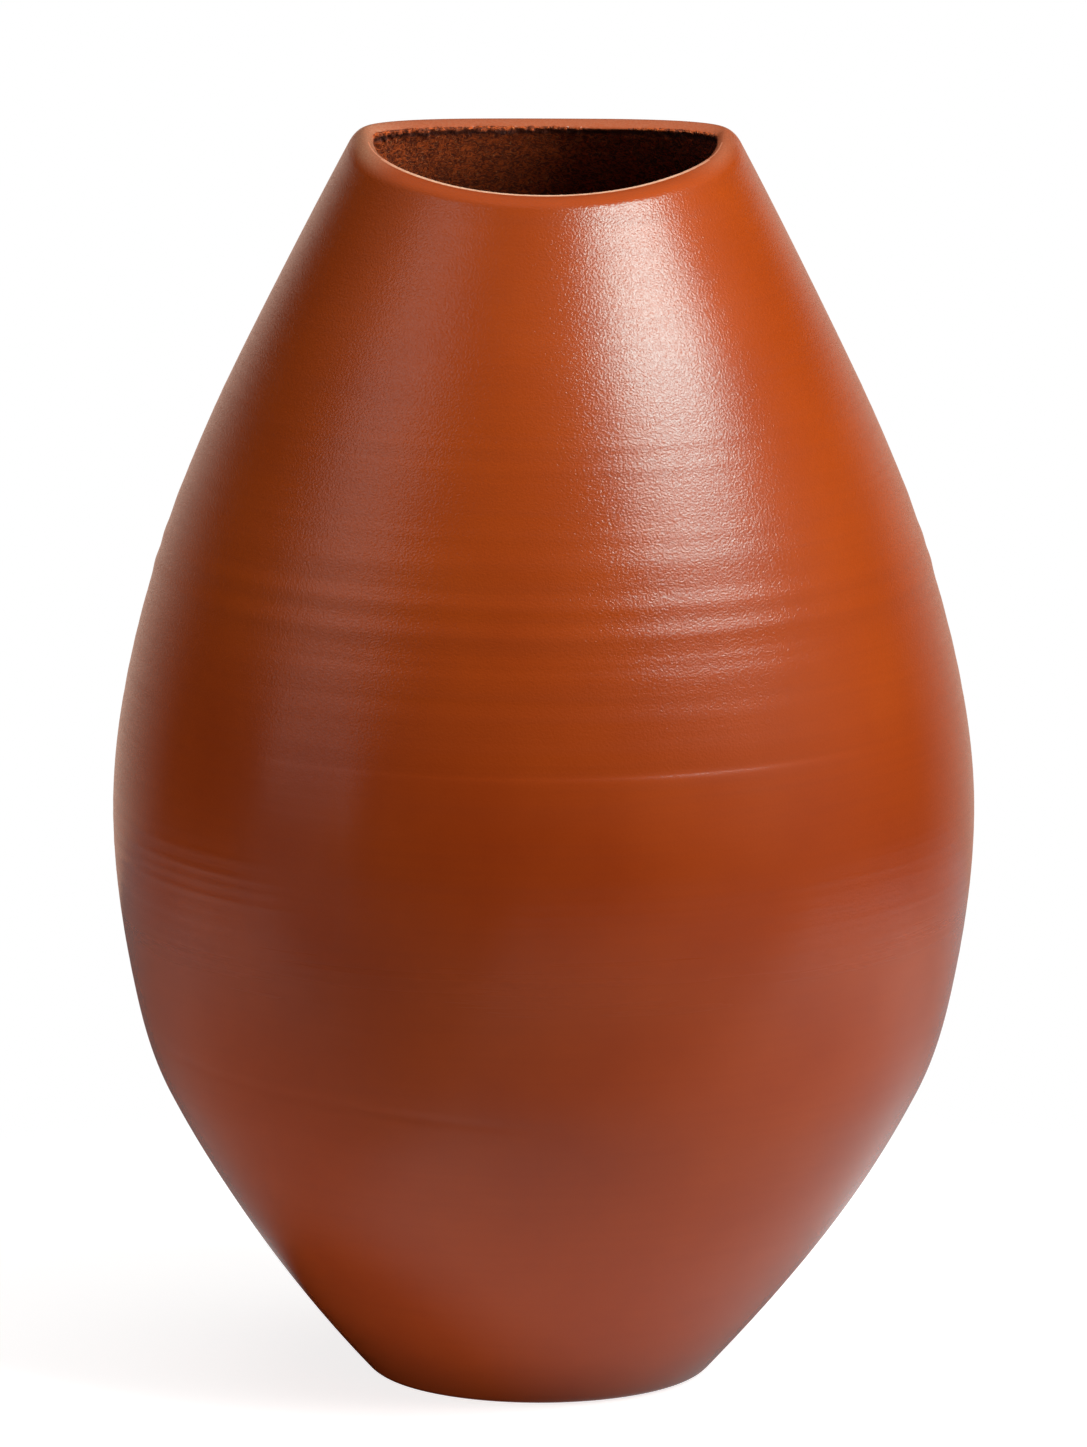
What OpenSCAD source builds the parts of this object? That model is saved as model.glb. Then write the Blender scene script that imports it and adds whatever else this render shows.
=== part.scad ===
// Teardrop vase in unglazed terracotta. Six thrown sections stand one on another, keyed and
// joined with slip, and the mouth is pressed flat at the back, so that it is D-shaped.
// Millimetres, +Z up, origin at the centre of the foot. The round front of the mouth faces -Y.

/* [Foot] */
// Diameter of the flat ring that the vase stands on
foot_d = 98; // [90:1:106]
// Radius of the foot's rounded outer edge
foot_round = 8; // [5:0.5:10]
// Lean of the wall just above the foot, as radius gained per height
foot_lean = 0.92; // [0.8:0.02:1]
// Thickness of the base slab, which is the floor of the vase
base_t = 9; // [7:0.5:14]
// Diameter of the shallow hollow turned under the foot
hollow_d = 78; // [60:1:84]
// Depth of that hollow
hollow_depth = 2; // [1:0.5:4]

/* [Lower body] */
// Height of the lower body, from the base slab to the knuckle
lower_h = 84; // [70:1:100]
// Diameter at the knuckle, where the lower body meets the belly
knuckle_d = 239; // [227:1:251]
// Lean of the wall at the knuckle
knuckle_lean = 0.51; // [0.4:0.01:0.62]

/* [Belly] */
// Height of the hip above the knuckle
hip_rise = 35; // [28:1:42]
// Diameter at the hip, where the wall turns upright
hip_d = 261; // [253:1:269]
// Lean of the wall at the hip
hip_lean = 0.2; // [0.12:0.01:0.28]
// Height of the widest place above the hip
belly_rise = 54; // [44:1:66]
// Greatest diameter of the vase
belly_d = 273; // [264:1:286]
// Height of the belly's upper seam above the widest place
belly_seam_rise = 37; // [27:1:47]

/* [Shoulder] */
// Height of the middle of the shoulder above the widest place
shoulder_rise = 77; // [66:1:90]
// Diameter at the middle of the shoulder
shoulder_d = 246; // [236:1:258]
// Lean of the wall at the middle of the shoulder
shoulder_lean = -0.29; // [-0.36:0.005:-0.2]
// Height of the shoulder's upper seam above the middle of the shoulder
shoulder_seam_rise = 61; // [48:1:74]
// Spacing of the rings that the thrower's fingers left on the shoulder
ring_pitch = 7; // [5:0.5:10]
// Depth of those rings
ring_depth = 0.5; // [0.2:0.1:1]

/* [Mouth] */
// Height of the rim above the middle of the shoulder, measured on the axis
rim_rise = 137; // [124:1:150]
// Width of the mouth over the outside of the wall
mouth_w = 120; // [112:1:130]
// Depth of the mouth's round front, from its widest line
mouth_front = 67.5; // [58:0.5:76]
// Depth of the mouth's flat back, from its widest line
mouth_back = 18; // [16:1:26]
// Distance of the widest line behind the axis
mouth_shift = 8; // [0:1:14]
// Squareness of the two back corners, where 2 is an ellipse
mouth_square = 3.4; // [2.5:0.1:4.5]
// Slant of the rim, which is lower in front
mouth_tilt = 8; // [0:0.5:10]
// Share of the neck over which that slant sets in
tilt_start = 0.4; // [0.2:0.05:0.6]
// Lean of the wall at the rim
rim_lean = -0.54; // [-0.6:0.01:-0.46]
// Height of the lip
lip_h = 14; // [11:0.5:18]

/* [Lip] */
// Height over which the lip rounds off on its outside, at its two ends
end_round = 5; // [3:0.5:8]
// Height of the same at the back
back_round = 2.5; // [1.5:0.5:5]
// Height of the same at the front
front_round = 2; // [1:0.5:4]
// Width of the lip's top face at its two ends, from the crest inwards
end_face = 3.25; // [2:0.25:4.5]
// Width of the same at the back
back_face = 5; // [3.5:0.25:5.25]
// Height by which that face falls inwards at the two ends
end_fall = 1.5; // [0.75:0.25:2.5]
// Height of the same at the back
back_fall = 1.75; // [0.75:0.25:2.5]
// Radius of the crisp inner edge at the front
front_edge = 1.25; // [0.75:0.25:2]
// Bow of the top face, where 1 is flat and 2 is round
face_bow = 1.5; // [1.1:0.1:2]
// Distance by which the lip's inside flares at its ends and back
lip_flare = 0.75; // [0:0.25:1]

/* [Wall and joints] */
// Thickness of the wall, square to its face
wall = 6.5; // [5.5:0.25:8]
// Width of the groove that keys each seam
key_w = 3; // [2.5:0.25:3.5]
// Depth of the groove
key_depth = 2; // [1.5:0.25:3]
// Room for slip between the ridge and its groove
slip = 0.25; // [0.2:0.05:0.4]

/* [Hidden] */

dusty_clay = "#a8705a";
burnished_clay = "#b0623c";
$fn = 96;

// Facets of the pressed neck and lip, around and up
mouth_sides = 96;
neck_levels = 10;
lip_arcs = 6;
face_arcs = 6;
mouth_turns = [for (i = [0 : mouth_sides - 1]) 360 * i / mouth_sides];
// Sines of the turns between which the lip changes from its ends to its back, and to its front
back_from = 0.05;
back_full = 0.6;
front_from = 0.25;
front_full = 0.8;
// Facets of the foot's rounded edge
foot_arcs = 8;
// Longest straight stretch of a turned outline, and points on each finger ring
turn_step = 6;
points_per_ring = 8;
// Short height over which a lean is measured
lean_step = 0.01;

// Foot: the rounded edge leaves the ground level and ends at the lean of the wall
foot_turn = atan2(1, foot_lean);
foot_top_z = foot_round * (1 - cos(foot_turn));
foot_top_r = foot_d / 2 + foot_round * sin(foot_turn);

// Heights of the places that shape the outline, and of the seams
knuckle_z = base_t + lower_h;
hip_z = knuckle_z + hip_rise;
belly_z = hip_z + belly_rise;
shoulder_z = belly_z + shoulder_rise;
rim_z = shoulder_z + rim_rise;
belly_seam_z = belly_z + belly_seam_rise;
neck_base_z = shoulder_z + shoulder_seam_rise;
neck_span = rim_z - neck_base_z;

// Levels of the neck run from 0 at its seam with the shoulder to 1 at the rim
lip_level = 1 - lip_h / neck_span;

// Outline of the outside: height, radius and lean at each place, with smooth curves between
outline = [
    [foot_top_z, foot_top_r, foot_lean],
    [knuckle_z, knuckle_d / 2, knuckle_lean],
    [hip_z, hip_d / 2, hip_lean],
    [belly_z, belly_d / 2, 0],
    [shoulder_z, shoulder_d / 2, shoulder_lean],
    [rim_z, mouth_w / 2, rim_lean]
];

function mix(a, b, share) = a + (b - a) * share;

// Cubic curve from p0 to p1 that leaves with slope m0 and arrives with slope m1
function curve(t, p0, m0, p1, m1) =
    p0 * (1 + 2 * t) * pow(1 - t, 2)
    + m0 * t * pow(1 - t, 2)
    + p1 * t * t * (3 - 2 * t)
    - m1 * t * t * (1 - t);

function passed(z) = len([for (i = [1 : len(outline) - 2]) if (z > outline[i][0]) i]);

function outer_r(z) =
    let (low = outline[passed(z)], high = outline[passed(z) + 1], rise = high[0] - low[0])
    curve((z - low[0]) / rise, low[1], rise * low[2], high[1], rise * high[2]);

function lean(z) = (outer_r(z + lean_step) - outer_r(z - lean_step)) / (2 * lean_step);

// Level width of a wall that leans, so that its thickness square to the face stays the same
function level_width(lean) = wall * sqrt(1 + lean * lean);

function inner_r(z) = outer_r(z) - level_width(lean(z));

function mid_r(z) = (outer_r(z) + inner_r(z)) / 2;

// Outer lines of a turned section, from z0 up to z1
function heights(z0, z1, step) =
    let (count = ceil((z1 - z0) / step))
    [for (i = [0 : count]) mix(z0, z1, i / count)];

function outer_line(z0, z1) = [for (z = heights(z0, z1, turn_step)) [outer_r(z), z]];

function inner_line(z0, z1) = [for (z = heights(-z1, -z0, turn_step)) [inner_r(-z), -z]];

// Finger rings sink into the wall and fade out towards the neck
function ring_cut(z) =
    let (up = (z - belly_seam_z) / (neck_base_z - belly_seam_z))
    ring_depth * (1 - pow(up, 4)) * (1 - cos(360 * (z - belly_seam_z) / ring_pitch)) / 2;

function ringed_line(z0, z1) =
    [for (z = heights(z0, z1, ring_pitch / points_per_ring)) [outer_r(z) - ring_cut(z), z]];

// Seam: the lower piece has the groove and the upper piece the ridge, which leaves room for slip
function groove(z) = [
    [mid_r(z) + key_w / 2, z],
    [mid_r(z), z - key_depth],
    [mid_r(z) - key_w / 2, z]
];

function ridge(z) = [
    [mid_r(z) - key_w / 2 + slip, z],
    [mid_r(z), z - key_depth + slip],
    [mid_r(z) + key_w / 2 - slip, z]
];

module turned_wall(z0, z1, outside) {
    rotate_extrude()
        polygon(concat(outside, groove(z1), inner_line(z0, z1), ridge(z0)));
}

// Neck: the round wall turns into the D of the mouth as the pressing grows with the level
function pressed(level) = level * level;
function level_z(level) = mix(neck_base_z, rim_z, level);
function half_width(level) = outer_r(level_z(level));
function shift(level) = mouth_shift * pressed(level);
function front(level) = half_width(level) * mix(1, 2 * mouth_front / mouth_w, pressed(level));
function back(level) = half_width(level) * mix(1, 2 * mouth_back / mouth_w, pressed(level));

// Rise of the slanting rim per depth: it sets in gently, so that no crease shows at the neck's seam
function slant(level) =
    tan(mouth_tilt) / (1 - tilt_start / 2)
    * (level < tilt_start ? level * level / (2 * tilt_start) : level - tilt_start / 2);

// Level width of the wall at the sides, the front and the back
function rise_step() = lean_step / neck_span;
function lean_between(low, high) = (high - low) / (2 * lean_step);

function side_width(level) = level_width(lean(level_z(level)));

function front_width(level) =
    let (low = level - rise_step(), high = level + rise_step())
    level_width(lean_between(front(low) - shift(low), front(high) - shift(high)));

function back_width(level) =
    let (low = level - rise_step(), high = level + rise_step())
    level_width(lean_between(back(low) + shift(low), back(high) + shift(high)));

// Point of the pressed wall at a turn: share 1 is its outside and share 0 its inside
function wall_point(turn, level, share) =
    let (
        c = cos(turn),
        s = sin(turn),
        power = s > 0 ? mix(2, mouth_square, pressed(level)) : 2,
        reach = pow(pow(abs(c), power) + pow(abs(s), power), -1 / power),
        side_r = half_width(level) - (1 - share) * side_width(level),
        depth = s > 0
            ? back(level) - (1 - share) * back_width(level)
            : front(level) - (1 - share) * front_width(level),
        y = shift(level) + depth * s * reach
    )
    [side_r * c * reach, y, level_z(level) + slant(level) * y];

function ring(level, share) = [for (turn = mouth_turns) wall_point(turn, level, share)];

// Ring beside the middle of the wall: out is its distance outwards, and down its depth
function key_ring(level, out, down) =
    let (outer = ring(level, 1), inner = ring(level, 0))
    [for (i = [0 : mouth_sides - 1]) let (across = outer[i] - inner[i])
        (outer[i] + inner[i]) / 2 + out * across / norm(across) - [0, 0, down]];

function groove_rings(level) = [
    key_ring(level, key_w / 2, 0),
    key_ring(level, 0, key_depth),
    key_ring(level, -key_w / 2, 0)
];

function ridge_rings(level) = [
    key_ring(level, slip - key_w / 2, 0),
    key_ring(level, 0, key_depth - slip),
    key_ring(level, key_w / 2 - slip, 0)
];

// Lip: the wall rounds over to a crest, and a face falls from there to the inside. The front is crisp,
// and each value goes smoothly from the ends of the lip to its back and its front.
function ease(low, high, value) =
    let (t = max(0, min(1, (value - low) / (high - low))))
    t * t * (3 - 2 * t);

function on_lip(turn, at_ends, at_back, at_front) =
    at_ends
    + (at_back - at_ends) * ease(back_from, back_full, sin(turn))
    + (at_front - at_ends) * ease(front_from, front_full, -sin(turn));

function crest_share(turn) = on_lip(turn, end_face, back_face, front_edge) / wall;

function outer_round(arc) =
    [for (turn = mouth_turns) let (drop = on_lip(turn, end_round, back_round, front_round) / neck_span)
        wall_point(turn, 1 - drop * (1 - sin(arc)), mix(crest_share(turn), 1, cos(arc)))];

function inner_face(arc) =
    [for (turn = mouth_turns) let (
        drop = on_lip(turn, end_fall, back_fall, front_edge) / neck_span,
        flare = on_lip(turn, lip_flare, lip_flare, 0) / wall,
        bow = 2 / on_lip(turn, face_bow, face_bow, 2)
    ) wall_point(
        turn,
        1 - drop * (1 - pow(cos(arc), bow)),
        mix(crest_share(turn), flare, pow(sin(arc), bow))
    )];

// Closed solid whose skin runs from ring to ring and back to the first
module ring_solid(rings) {
    count = len(rings);
    sides = len(rings[0]);
    function point(j, i) = (j % count) * sides + i % sides;
    points = [for (one = rings, p = one) p];
    faces = [for (j = [0 : count - 1], i = [0 : sides - 1], half = [0, 1])
        half == 0
            ? [point(j, i), point(j + 1, i), point(j + 1, i + 1)]
            : [point(j, i), point(j + 1, i + 1), point(j, i + 1)]];
    polyhedron(points, faces, convexity = 6);
}

module base_slab() {
    foot_edge = [for (i = [0 : foot_arcs]) let (turn = foot_turn * i / foot_arcs)
        [foot_d / 2 + foot_round * sin(turn), foot_round * (1 - cos(turn))]];
    color(dusty_clay)
        rotate_extrude()
            polygon(concat(
                [[0, hollow_depth], [hollow_d / 2 - hollow_depth, hollow_depth], [hollow_d / 2, 0]],
                foot_edge,
                [[outer_r(base_t), base_t]],
                groove(base_t),
                [[0, base_t]]
            ));
}

module lower_body() {
    color(dusty_clay)
        turned_wall(base_t, knuckle_z, outer_line(base_t, knuckle_z));
}

module belly() {
    color(dusty_clay)
        turned_wall(knuckle_z, belly_seam_z, outer_line(knuckle_z, belly_seam_z));
}

module shoulder() {
    color(burnished_clay)
        turned_wall(belly_seam_z, neck_base_z, ringed_line(belly_seam_z, neck_base_z));
}

module neck() {
    levels = [for (i = [0 : neck_levels]) lip_level * i / neck_levels];
    color(burnished_clay)
        ring_solid(concat(
            [for (level = levels) ring(level, 1)],
            groove_rings(lip_level),
            [for (i = [neck_levels : -1 : 0]) ring(levels[i], 0)],
            ridge_rings(0)
        ));
}

module lip() {
    color(burnished_clay)
        ring_solid(concat(
            [ring(lip_level, 1)],
            [for (i = [0 : lip_arcs]) outer_round(90 * i / lip_arcs)],
            [for (i = [1 : face_arcs]) inner_face(90 * i / face_arcs)],
            [ring(lip_level, 0)],
            ridge_rings(lip_level)
        ));
}

base_slab();
lower_body();
belly();
shoulder();
neck();
lip();
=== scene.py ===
import bpy
import math
import numpy as np
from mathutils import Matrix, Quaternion, Vector


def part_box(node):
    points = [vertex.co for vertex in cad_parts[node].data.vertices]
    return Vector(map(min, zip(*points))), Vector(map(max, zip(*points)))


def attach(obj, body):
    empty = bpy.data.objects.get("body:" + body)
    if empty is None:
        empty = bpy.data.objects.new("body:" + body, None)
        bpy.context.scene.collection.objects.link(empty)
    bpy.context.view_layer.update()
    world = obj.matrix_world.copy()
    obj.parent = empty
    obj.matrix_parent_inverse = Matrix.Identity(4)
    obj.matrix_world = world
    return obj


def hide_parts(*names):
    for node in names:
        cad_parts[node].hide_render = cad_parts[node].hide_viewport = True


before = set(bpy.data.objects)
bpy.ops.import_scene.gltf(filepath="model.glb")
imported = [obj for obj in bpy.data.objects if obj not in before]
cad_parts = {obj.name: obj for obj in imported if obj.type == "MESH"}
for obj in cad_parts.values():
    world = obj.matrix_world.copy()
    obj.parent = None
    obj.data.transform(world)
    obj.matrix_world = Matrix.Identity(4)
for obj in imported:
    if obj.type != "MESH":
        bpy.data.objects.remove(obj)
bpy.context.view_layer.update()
print("frame loaded with", len(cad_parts), "clay sections")

mm = 0.001

# Outline of the pot in mm, as it was turned. Seam heights come from the frame.
potOutline = {
    "footDiameter": 98, "footRound": 8, "footLean": 0.92,
    "knuckleDiameter": 239, "knuckleLean": 0.51,
    "hipRise": 35, "hipDiameter": 261, "hipLean": 0.2,
    "bellyRise": 54, "bellyDiameter": 273,
    "shoulderRise": 77, "shoulderDiameter": 246, "shoulderLean": -0.29,
    "rimRise": 137, "rimLean": -0.54,
    "wall": 6.5, "keyWidth": 3, "keyDepth": 2, "slip": 0.25,
}
# The mouth is pressed flat at the back, so it is a D seen from above. A squareness of 2 is an ellipse.
potMouth = {
    "width": 120, "front": 67.5, "back": 18, "shift": 8, "square": 3.4, "squareInside": 2.6,
    "tilt": 8, "tiltStart": 0.4, "lipHeight": 14,
}
around = 320  # points round each turned section
leanStep = 0.01  # mm of height over which a lean is measured


def topOf(node):
    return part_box(node)[1].z / mm


floorZ = topOf("base_slab")
knuckleZ = topOf("lower_body")
bellySeamZ = topOf("belly")
neckZ = topOf("shoulder")
hipZ = knuckleZ + potOutline["hipRise"]
bellyZ = hipZ + potOutline["bellyRise"]
shoulderZ = bellyZ + potOutline["shoulderRise"]
rimZ = shoulderZ + potOutline["rimRise"]

footTurn = math.atan2(1, potOutline["footLean"])
footTopZ = potOutline["footRound"] * (1 - math.cos(footTurn))
footTopR = potOutline["footDiameter"] / 2 + potOutline["footRound"] * math.sin(footTurn)

# height, radius and lean at each place that shapes the pot
turningPoints = np.array([
    (footTopZ, footTopR, potOutline["footLean"]),
    (knuckleZ, potOutline["knuckleDiameter"] / 2, potOutline["knuckleLean"]),
    (hipZ, potOutline["hipDiameter"] / 2, potOutline["hipLean"]),
    (bellyZ, potOutline["bellyDiameter"] / 2, 0),
    (shoulderZ, potOutline["shoulderDiameter"] / 2, potOutline["shoulderLean"]),
    (rimZ, potMouth["width"] / 2, potOutline["rimLean"]),
])


def mix(a, b, share):
    return a + (b - a) * share


def smooth(low, high, value):
    t = np.clip((value - low) / (high - low), 0, 1)
    return t * t * (3 - 2 * t)


def outerRadius(z):
    # a cubic curve between neighbouring turning points, which keeps their leans
    z = np.asarray(z, float)
    i = np.clip(np.searchsorted(turningPoints[1:-1, 0], z), 0, len(turningPoints) - 2)
    low, high = turningPoints[i], turningPoints[i + 1]
    rise = high[..., 0] - low[..., 0]
    t = (z - low[..., 0]) / rise
    return (low[..., 1] * (1 + 2 * t) * (1 - t) ** 2 + rise * low[..., 2] * t * (1 - t) ** 2
            + high[..., 1] * t * t * (3 - 2 * t) - rise * high[..., 2] * t * t * (1 - t))


def leanAt(z):
    return (outerRadius(z + leanStep) - outerRadius(z - leanStep)) / (2 * leanStep)


def levelWidth(lean):
    return potOutline["wall"] * np.sqrt(1 + lean * lean)


def innerRadius(z):
    return outerRadius(z) - levelWidth(leanAt(z))


def turns(count):
    return np.arange(count) * 2 * np.pi / count


def roundRing(radius, z, count=around):
    a = turns(count)
    return np.stack([radius * np.cos(a), radius * np.sin(a), np.full(count, float(z))], -1)


# The neck runs from level 0 at its seam to level 1 at the rim.
def pressed(level):
    return level * level


def halfWidth(level):
    return outerRadius(mix(neckZ, rimZ, level))


def mouthShift(level):
    return potMouth["shift"] * pressed(level)


def mouthDepth(level, side):
    return halfWidth(level) * mix(1, 2 * potMouth[side] / potMouth["width"], pressed(level))


def mouthLean(level, side):
    # the lean of the neck's front or back, which also move with the shift of the mouth
    step = leanStep / (rimZ - neckZ)
    way = 1 if side == "back" else -1
    above, below = [mouthDepth(at, side) + way * mouthShift(at) for at in (level + step, level - step)]
    return (above - below) / (2 * leanStep)


def mouthSlant(level):
    # sets in gently, so that the neck leaves the shoulder without a crease
    start = potMouth["tiltStart"]
    grown = np.where(level < start, level * level / (2 * start), level - start / 2)
    return math.tan(math.radians(potMouth["tilt"])) * grown / (1 - start / 2)


def wallRing(level, share, count=around):
    # share 1 is the outside of the wall and 0 its inside
    inset = 1 - share
    side = halfWidth(level) - inset * levelWidth(leanAt(mix(neckZ, rimZ, level)))
    front = mouthDepth(level, "front") - inset * levelWidth(mouthLean(level, "front"))
    back = mouthDepth(level, "back") - inset * levelWidth(mouthLean(level, "back"))
    c, s = np.cos(turns(count)), np.sin(turns(count))
    square = mix(potMouth["squareInside"], potMouth["square"], share)
    power = np.where(s > 0, mix(2, square, pressed(level)), 2)
    reach = (np.abs(c) ** power + np.abs(s) ** power) ** (-1 / power)
    y = mouthShift(level) + np.where(s > 0, back, front) * s * reach
    return np.stack([side * c * reach, y, mix(neckZ, rimZ, level) + mouthSlant(level) * y], -1)


# Lumpy noise from -1 to 1 on a hashed grid, the same in every run
lumpHash = {
    "cell": np.array([374761393, 668265263, 2147483647]), "seed": 974711, "stir": 1274126177,
    "apart": 17.3, "word": 0xFFFFFFFF, "halfWord": 0xFFFF,
}


def lumps(points, size, seed):
    p = points / size + seed * lumpHash["apart"]
    cell = np.floor(p).astype(np.int64)
    t = smooth(0, 1, p - cell)
    total = np.zeros(len(p))
    for corner in range(8):
        bits = np.array([(corner >> k) & 1 for k in range(3)])
        h = (((cell + bits) * lumpHash["cell"]).sum(axis=1) + seed * lumpHash["seed"]) & lumpHash["word"]
        h = ((h ^ (h >> 13)) * lumpHash["stir"]) & lumpHash["word"]
        value = ((h ^ (h >> 16)) & lumpHash["halfWord"]) / (lumpHash["halfWord"] / 2) - 1
        total += value * np.prod(np.where(bits, t, 1 - t), axis=1)
    return total


# Ridges that the thrower's fingers left: height on the pot, how proud, half width, all in mm. Turns are in
# degrees from the front.
fingerMarks = {
    "shoulder": [
        (317.2, 0.06, 1.1), (310.0, 0.045, 1.1), (291.0, 0.06, 1.2), (282.2, 0.22, 3.5), (276.0, 0.03, 0.9),
        (270.0, 0.30, 2.25), (261.7, 0.34, 2.25), (256.8, 0.04, 0.9), (253.5, 0.06, 1.1), (249.6, 0.04, 0.9),
        (246.8, 0.17, 3.1), (242.6, 0.035, 0.9), (236.7, 0.13, 2.7), (232.0, 0.03, 0.9), (226.0, 0.08, 3.0),
    ],
    "shoulderSwell": 0.15, "wander": 0.5,
    "bellyTop": 187, "bellyPitch": 2.7, "bellyStray": 0.9, "bellyCount": 24, "bellyProud": 0.05,
    "bellyHalfWidth": 0.7, "bellySwell": 0.35, "bellyFade": 0.5, "bellyRight": 0.4, "bellyLeftTurn": 60,
    "ledgeProud": 0.3, "ledgeFade": 6, "ledgeSharp": 0.45,
    "ledgeTurn": 17.5, "ledgeWide": 21, "ledgeElsewhere": 0.2,
    "uneven": ((0.18, 2, 60), (0.12, 3, -45)),  # how proud, waves round the pot, mm of height for each radian
}
# The slanting tool mark above the knuckle, from its left end to its right end
toolMark = {
    "fromTurn": -80, "toTurn": 8, "fromZ": 113.6, "drop": 9.4, "bend": 1.7, "deep": 0.17, "halfWidth": 1.2,
    "fadeIn": (0, 0.3), "fadeOut": (0.75, 1),  # shares of its length
}


def bell(offset, halfWide):
    return np.exp(-0.5 * (offset / halfWide) ** 2)


def fingerRelief(points):
    x, y, z = points[..., 0], points[..., 1], points[..., 2]
    turn = np.arctan2(x, -y)  # 0 at the front, positive to the right
    relief = np.zeros(z.shape)
    # the odd steps in the sines keep neighbouring rings from straying and swelling alike
    for i, (height, proud, halfWide) in enumerate(fingerMarks["shoulder"]):
        drift = fingerMarks["wander"] * np.sin(turn + 1.9 * i)
        swell = 1 - fingerMarks["shoulderSwell"] * (1 - np.sin(2 * turn + 0.8 * i))
        relief += proud * swell * bell(z - height - drift, halfWide)
    # fine turning lines on the belly, clearest on the left, weaker towards the knuckle
    clear = mix(fingerMarks["bellyRight"], 1, smooth(0, fingerMarks["bellyLeftTurn"], -np.degrees(turn)))
    for i in range(fingerMarks["bellyCount"]):
        height = fingerMarks["bellyTop"] - fingerMarks["bellyPitch"] * i
        height += fingerMarks["bellyStray"] * math.sin(2.4 * i)
        drift = fingerMarks["wander"] * np.sin(turn + 2.3 * i)
        swell = 1 - fingerMarks["bellySwell"] * (1 - np.sin(turn + 1.7 * i))
        swell *= clear * (1 - fingerMarks["bellyFade"] * i / fingerMarks["bellyCount"])
        relief += fingerMarks["bellyProud"] * swell * bell(z - height - drift, fingerMarks["bellyHalfWidth"])
    # the belly stands a hair proud of the shoulder at their seam
    above = z - bellySeamZ
    ledge = 1 / (1 + np.exp(-np.clip(above / fingerMarks["ledgeSharp"], -40, 40)))
    ledge *= np.exp(-np.maximum(above, 0) / fingerMarks["ledgeFade"])
    strong = bell(np.degrees(turn) - fingerMarks["ledgeTurn"], fingerMarks["ledgeWide"])
    relief -= fingerMarks["ledgeProud"] * mix(fingerMarks["ledgeElsewhere"], 1, strong) * ledge
    # slanting tool mark
    along = (np.degrees(turn) - toolMark["fromTurn"]) / (toolMark["toTurn"] - toolMark["fromTurn"])
    markZ = toolMark["fromZ"] - toolMark["drop"] * np.clip(along, 0, 1) ** toolMark["bend"]
    fade = smooth(*toolMark["fadeIn"], along) * (1 - smooth(*toolMark["fadeOut"], along))
    relief -= toolMark["deep"] * fade * bell(z - markZ, toolMark["halfWidth"])
    # slow unevenness of a pot turned by hand
    for proud, waves, rise in fingerMarks["uneven"]:
        relief += proud * np.sin(waves * turn + z / rise)
    return relief


def gridNormals(grid):
    alongTurn = np.roll(grid, -1, axis=1) - np.roll(grid, 1, axis=1)
    alongRise = np.gradient(grid, axis=0)
    normal = np.cross(alongTurn, alongRise)
    return normal / np.linalg.norm(normal, axis=-1, keepdims=True)


leastLevel = 0.2  # keeps a push short where the clay lies flat


def pushOut(grid, amount):
    # level pushes, so that the rings of neighbouring sections still meet at their seam
    level = gridNormals(grid) * np.array([1, 1, 0])
    share = np.maximum((level * level).sum(axis=-1, keepdims=True), leastLevel)
    return grid + level / share * amount[..., None]


# The foot was set down a little to the left of the axis, and the mouth leans a hair to the right
potLean = {"foot": -1.4, "footTo": 70, "mouth": 0.5, "mouthFrom": 310, "mouthTo": 396, "roll": 0.15}


def settle(points):
    moved = points.copy()
    z = points[..., 2]
    up = smooth(potLean["mouthFrom"], potLean["mouthTo"], z)
    moved[..., 0] += potLean["foot"] * (1 - smooth(0, potLean["footTo"], z)) + potLean["mouth"] * up
    moved[..., 2] -= points[..., 0] * math.tan(math.radians(potLean["roll"])) * up
    return moved


def keyRing(outer, inner, out, down):
    across = outer - inner
    unit = across / np.linalg.norm(across, axis=-1, keepdims=True)
    return (outer + inner) / 2 + unit * out - np.array([0, 0, down])


def grooveRings(outer, inner):
    half, deep = potOutline["keyWidth"] / 2, potOutline["keyDepth"]
    return [keyRing(outer, inner, half, 0), keyRing(outer, inner, 0, deep), keyRing(outer, inner, -half, 0)]


def ridgeRings(outer, inner):
    half = potOutline["keyWidth"] / 2 - potOutline["slip"]
    deep = potOutline["keyDepth"] - potOutline["slip"]
    return [keyRing(outer, inner, -half, 0), keyRing(outer, inner, 0, deep), keyRing(outer, inner, half, 0)]


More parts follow.
